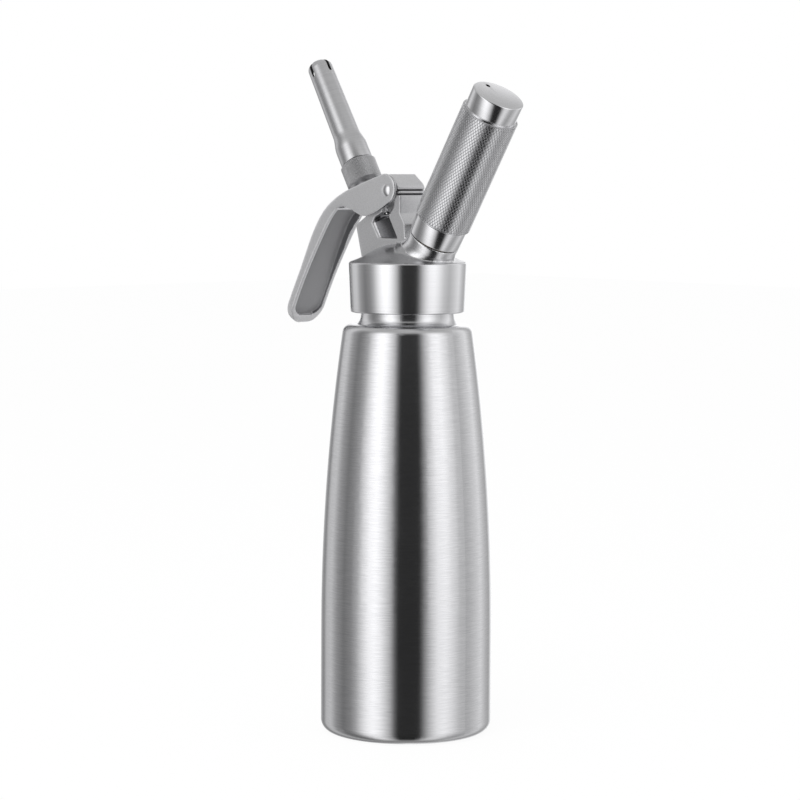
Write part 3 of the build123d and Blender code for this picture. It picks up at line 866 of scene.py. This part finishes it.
def buildLever():
    grip = asObject(mergedCopy("lever"), "leverGrip")
    soften(grip, lever["voxel"], lever["smoothing"])
    smoothOut(grip, lever["outerSmoothing"], outerShare)
    fit(grip, "lever", finishMaterial("leverSatin", lever["finish"]), ["lever"])
    for name, finish in (("leverPanel", "panelFinish"), ("leverWallShade", "wallShadeFinish"),
                         ("leverEdgeShade", "edgeShadeFinish")):
        grip.data.materials.append(finishMaterial(name, lever[finish]))
    inside = (lever["width"] / 2 - lever["rim"] + lever["panelMargin"]) * mm
    for face in grip.data.polygons:
        face.material_index = leverZone(face, inside)
    return grip


buildLever()
print("lever shaped")

holder = {
    "profile": [
        (10.2, 0, 0.2), (12.8, 0, 0.5), (12.8, 9.7, 0.2), (12.3, 9.7), (12.3, 10.5),
        (13.2, 10.5), (13.2, 69.5), (12.3, 69.5), (12.3, 70.3), (12.6, 70.3, 0.2),
        (12.6, 79.5, 0.6), (0, 79.5), (0, 75.4), (9.2, 75.4), (9.2, 13.6), (10.2, 13.6)],
    "length": 79.5,
    "ventOffset": 8.4,
    "ventRadius": 1.15,
    "ventDepth": 8,
    "ventSides": 40,
    "columns": 124,
    "rowHeight": 1.20,
    "gripStart": 10.5,
    "gripEnd": 69.5,
    "tops": 13.8,
    "grooveDepth": 0.24,
    "grooveWidth": 0.14,
    "endSink": 0.6,
    "endReach": 0.01,
    "finish": {
        "dark": (0.76, 0.76, 0.77),
        "light": (0.82, 0.82, 0.83),
        "roughness": (0.12, 0.17),
        "stretch": (900, 8, 2400),
        "bump": 0.04,
        "turned": True,
    },
    "gripFinish": {
        "dark": (0.70, 0.70, 0.71),
        "light": (0.80, 0.80, 0.81),
        "roughness": (0.16, 0.24),
        "stretch": (1500, 1500, 1500),
        "bump": 0.05,
    },
    # groove walls are rougher, and their darker colour is painted shade in the creases
    "grooveShadeFinish": {
        "dark": (0.64, 0.64, 0.65),
        "light": (0.76, 0.76, 0.77),
        "roughness": (0.30, 0.40),
        "stretch": (1500, 1500, 1500),
        "bump": 0.05,
    },
}


def buildHolder():
    shell = asObject(spunMesh(holder["profile"]), "holderShell")
    drill = bmesh.new()
    bmesh.ops.create_cone(
        drill, cap_ends=True, segments=holder["ventSides"], radius1=holder["ventRadius"] * mm,
        radius2=holder["ventRadius"] * mm, depth=holder["ventDepth"] * mm,
        matrix=Matrix.Translation((-holder["ventOffset"] * mm, 0, holder["length"] * mm)))
    combine(shell, asObject(drill, "ventDrill"), "DIFFERENCE")
    softenEdges(shell)
    steel = finishMaterial("holderSteel", holder["finish"], holderFrame)
    return fit(shell, "charger_holder", steel, ["charger_holder"], holderFrame)


def cutDiamonds(bm, rows):
    # every second point of the grid goes, which leaves diamonds, and each is raised inside
    # its grooves
    step = 2 * pi / holder["columns"]
    rowHeight = (holder["gripEnd"] - holder["gripStart"]) / rows
    crossings, middles = [], []
    for point in bm.verts:
        column = round(atan2(point.co.y, point.co.x) / step)
        row = round((point.co.z / mm - holder["gripStart"]) / rowHeight)
        if (column + row) % 2:
            crossings.append(point)
        elif 0 < row < rows:
            middles.append(point)
    bmesh.ops.connect_verts(bm, verts=crossings)
    bmesh.ops.dissolve_verts(bm, verts=middles)
    walls = bmesh.ops.inset_individual(
        bm, faces=bm.faces[:], thickness=holder["grooveWidth"] * mm,
        depth=holder["grooveDepth"] * mm, use_even_offset=True)["faces"]
    # the groove walls take the second finish, darker as painted shade
    for face in walls:
        face.material_index = 1


def buildGrip():
    bm = bmesh.new()
    start, end = holder["gripStart"], holder["gripEnd"]
    rows = round((end - start) / holder["rowHeight"])
    base = holder["tops"] - holder["grooveDepth"]
    sideOutline(bm, [(base, start), (base, end)], closed=False)
    bmesh.ops.subdivide_edges(bm, edges=bm.edges[:], cuts=rows - 1)
    bmesh.ops.spin(bm, geom=bm.verts[:] + bm.edges[:], cent=(0, 0, 0), axis=(0, 0, 1),
                   steps=holder["columns"], angle=2 * pi, use_merge=True)
    bmesh.ops.recalc_face_normals(bm, faces=bm.faces)
    cutDiamonds(bm, rows)
    for height in (start, end):
        # both ends fall away to the shell
        rim = [edge for edge in bm.edges if edge.is_boundary
               and abs(edge.verts[0].co.z / mm - height) < holder["endReach"]]
        for point in bmesh.ops.extrude_edge_only(bm, edges=rim)["geom"]:
            if isinstance(point, bmesh.types.BMVert):
                point.co.xy *= (base - holder["endSink"]) * mm / point.co.xy.length
    bmesh.ops.recalc_face_normals(bm, faces=bm.faces)
    grip = asObject(bm, "diamondGrip")
    zones = [face.material_index for face in grip.data.polygons]
    steel = finishMaterial("gripSteel", holder["gripFinish"], holderFrame)
    fit(grip, "charger_holder", steel, place=holderFrame)
    grip.data.materials.append(finishMaterial("gripGrooveShade", holder["grooveShadeFinish"], holderFrame))
    grip.data.polygons.foreach_set("material_index", zones)
    return grip


buildHolder()
buildGrip()
print("charger holder turned and knurled")

nozzle = {
    "bottom": 71.7,
    "bottomEdge": 0.4,
    "shoulder": (8.0, 79.9),
    "root": (6.7, 88.3),
    "curveSteps": 12,
    "domeFoot": (6.2, 125.7),
    "domeRise": 4.2,
    "domeStep": 9,
    "wall": 1.1,
    "socket": (7.2, 73.0),
    "turnSteps": 96,
    "slot": (1.7, 8.5),
    "slotTurns": (0, 90),
    "saw": {"length": 40, "over": 1},
    "insideReach": 6.0,
    "insideTurn": 1e-5,
    "finish": {
        "dark": (0.66, 0.66, 0.67),
        "light": (0.76, 0.76, 0.77),
        "roughness": (0.26, 0.34),
        "stretch": (900, 8, 1800),
        "bump": 0.05,
        "turned": True,
    },
    # painted shade: a near-black colour for the tube's inside and the slot walls, where shade
    # falls
    "insideShadeFinish": {
        "dark": (0.10, 0.10, 0.10),
        "light": (0.16, 0.16, 0.16),
        "roughness": (0.45, 0.60),
        "stretch": (900, 8, 1800),
        "bump": 0.05,
        "turned": True,
    },
}
nozzleTop = nozzle["domeFoot"][1] + nozzle["domeRise"]


def nozzleSide(inwards):
    # straight foot, a curve into the tapered tube and a domed end
    (wide, low), (slim, high), (tip, foot) = nozzle["shoulder"], nozzle["root"], nozzle["domeFoot"]
    side = [(wide, low)]
    for part in range(1, nozzle["curveSteps"]):
        share = part / nozzle["curveSteps"]
        side.append((wide + (slim - wide) * share * share * (3 - 2 * share),
                     low + (high - low) * share))
    side.append((slim, high))
    for turn in range(0, 90, nozzle["domeStep"]):
        side.append((tip * cos(radians(turn)), foot + nozzle["domeRise"] * sin(radians(turn))))
    side.append((0, nozzleTop))
    return [(max(0, radius - inwards), height - (inwards if height > high else 0))
            for radius, height in side]


def buildNozzle():
    mouth = nozzle["socket"]
    outer = nozzleSide(0)
    inner = nozzleSide(nozzle["wall"])[::-1]
    last = next(number for number, corner in enumerate(inner) if corner[0] > 0)
    shell = asObject(spunMesh(
        [(mouth[0], nozzle["bottom"]), (outer[0][0], nozzle["bottom"], nozzle["bottomEdge"])]
        + outer + [(0, inner[0][1])] + inner[last:] + [(inner[-1][0], mouth[1]), mouth],
        steps=nozzle["turnSteps"]), "spoutShell")
    width, depth = nozzle["slot"]
    length, over = nozzle["saw"]["length"], nozzle["saw"]["over"]
    for turn in nozzle["slotTurns"]:
        saw = bmesh.new()
        place = (Matrix.Rotation(radians(turn), 4, "Z")
                 @ Matrix.Translation((0, 0, (nozzleTop + over - depth / 2) * mm))
                 @ Matrix.Diagonal((length, width, depth + 2 * over, 1)))
        bmesh.ops.create_cube(saw, size=mm, matrix=place)
        combine(shell, asObject(saw, "slotSaw"), "DIFFERENCE")
    softenEdges(shell)
    # faces that don't look outwards lie in the slots or inside the tube, and get a near-black
    # colour as painted shade
    inside = [face.center.xy.length < nozzle["insideReach"] * mm
              and face.center.xy.dot(face.normal.xy) < nozzle["insideTurn"]
              for face in shell.data.polygons]
    steel = finishMaterial("nozzleSteel", nozzle["finish"], valveFrame)
    fit(shell, "nozzle", steel, ["decorating_nozzle"], valveFrame)
    shell.data.materials.append(
        finishMaterial("nozzleInsideShade", nozzle["insideShadeFinish"], valveFrame))
    for face, hidden in zip(shell.data.polygons, inside):
        face.material_index = 1 if hidden else 0
    return shell


buildNozzle()
print("nozzle spun and slotted")

small = {
    "adapter": {
        "dark": (0.58, 0.58, 0.59),
        "light": (0.72, 0.72, 0.73),
        "roughness": (0.36, 0.44),
        "stretch": (1800, 1800, 1800),
        "bump": 0.10,
        "knurlDepth": 1.0,
        "knurl": {"Teeth": 60.0, "Pitch": 0.00092, "Bottom": 0.0603, "Top": 0.0707},
    },
    "pin": {
        "dark": (0.76, 0.76, 0.77),
        "light": (0.84, 0.84, 0.85),
        "roughness": (0.12, 0.18),
        "stretch": (1500, 1500, 1500),
        "bump": 0.03,
    },
    "turnedSteel": {
        "dark": (0.66, 0.66, 0.67),
        "light": (0.76, 0.76, 0.77),
        "roughness": (0.18, 0.26),
        "stretch": (1200, 10, 3000),
        "bump": 0.06,
        "turned": True,
    },
    "spring": {
        "dark": (0.58, 0.58, 0.60),
        "light": (0.70, 0.70, 0.72),
        "roughness": (0.20, 0.30),
        "stretch": (900, 900, 900),
        "bump": 0.04,
    },
    "brass": {
        "dark": (0.72, 0.55, 0.28),
        "light": (0.82, 0.64, 0.34),
        "roughness": (0.20, 0.30),
        "stretch": (1200, 10, 3000),
        "bump": 0.06,
        "turned": True,
    },
    "chargerSteel": {
        "dark": (0.62, 0.63, 0.64),
        "light": (0.72, 0.73, 0.74),
        "roughness": (0.28, 0.38),
        "stretch": (500, 500, 500),
        "smudgeSize": 90.0,
        "bump": 0.08,
    },
    "foil": {
        "dark": (0.80, 0.72, 0.52),
        "light": (0.86, 0.80, 0.62),
        "roughness": (0.22, 0.34),
        "stretch": (1600, 1600, 1600),
        "bump": 0.18,
    },
    "rubber": {
        "dark": (0.022, 0.022, 0.024),
        "light": (0.050, 0.050, 0.052),
        "roughness": (0.55, 0.75),
        "stretch": (1400, 1400, 1400),
        "bump": 0.22,
        "metallic": 0.0,
    },
    "bushPlastic": {
        "dark": (0.74, 0.73, 0.69),
        "light": (0.82, 0.81, 0.77),
        "roughness": (0.38, 0.50),
        "stretch": (1000, 10, 2400),
        "bump": 0.08,
        "metallic": 0.0,
        "turned": True,
    },
    "springCrisp": 40,
    "adapterThread": {"radius": 5.6, "height": 0.2, "pitch": 1.5, "start": 73.4, "turns": 4.2},
    "studThread": {"radius": 9.9, "height": 0.22, "pitch": 2.0, "start": 2.0, "turns": 4.6},
}

adapterSatin = finishMaterial("adapterSatin", small["adapter"], valveFrame)
pinSteel = finishMaterial("pinSteel", small["pin"])
stemSteel = finishMaterial("stemSteel", small["turnedSteel"], valveFrame)
needleSteel = finishMaterial("needleSteel", small["turnedSteel"], holderFrame)
springSteel = finishMaterial("springSteel", small["spring"])
studBrass = finishMaterial("studBrass", small["brass"], holderFrame)
chargerSteel = finishMaterial("chargerSteel", small["chargerSteel"], holderFrame)
capFoil = finishMaterial("capFoil", small["foil"])
sealRubber = finishMaterial("sealRubber", small["rubber"])
bushPlastic = finishMaterial("bushPlastic", small["bushPlastic"], valveFrame)

# pieces that keep the shape they have in the frame
finishOf = {
    "bottle": bottleSteel,
    "neck_ring": ringSteel,
    "head_gasket": sealRubber,
    "valve_stem": stemSteel,
    "valve_seal": sealRubber,
    "stem_o_ring": sealRubber,
    "guide_bush": bushPlastic,
    "spring_washer": springSteel,
    "nozzle_adapter": adapterSatin,
    "nozzle_seal": sealRubber,
    "lever_pin": pinSteel,
    "charger_port_stud": studBrass,
    "piercing_pin": needleSteel,
    "port_seal": sealRubber,
    "check_valve_disc": sealRubber,
    "gas_charger": chargerSteel,
    "charger_cap": capFoil,
}
for nodeName, finish in finishOf.items():
    slots = frame["nodes"][nodeName].data.materials
    for number in range(len(slots)):
        slots[number] = finish


def buildSpring():
    # its foot sits on the washer; the smooth-shaded copy stays where the frame puts it
    coil = asObject(mergedCopy("return_spring"), "coilSpring")
    softenEdges(coil, small["springCrisp"])
    coil.data.materials.clear()
    coil.data.materials.append(springSteel)
    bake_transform(coil)
    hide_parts("return_spring")


buildSpring()
screwThread("adapterThread", small["adapterThread"], "valve", adapterSatin,
            valveFrame)
screwThread("studThread", small["studThread"], "head", studBrass, holderFrame)
print("small pieces finished")
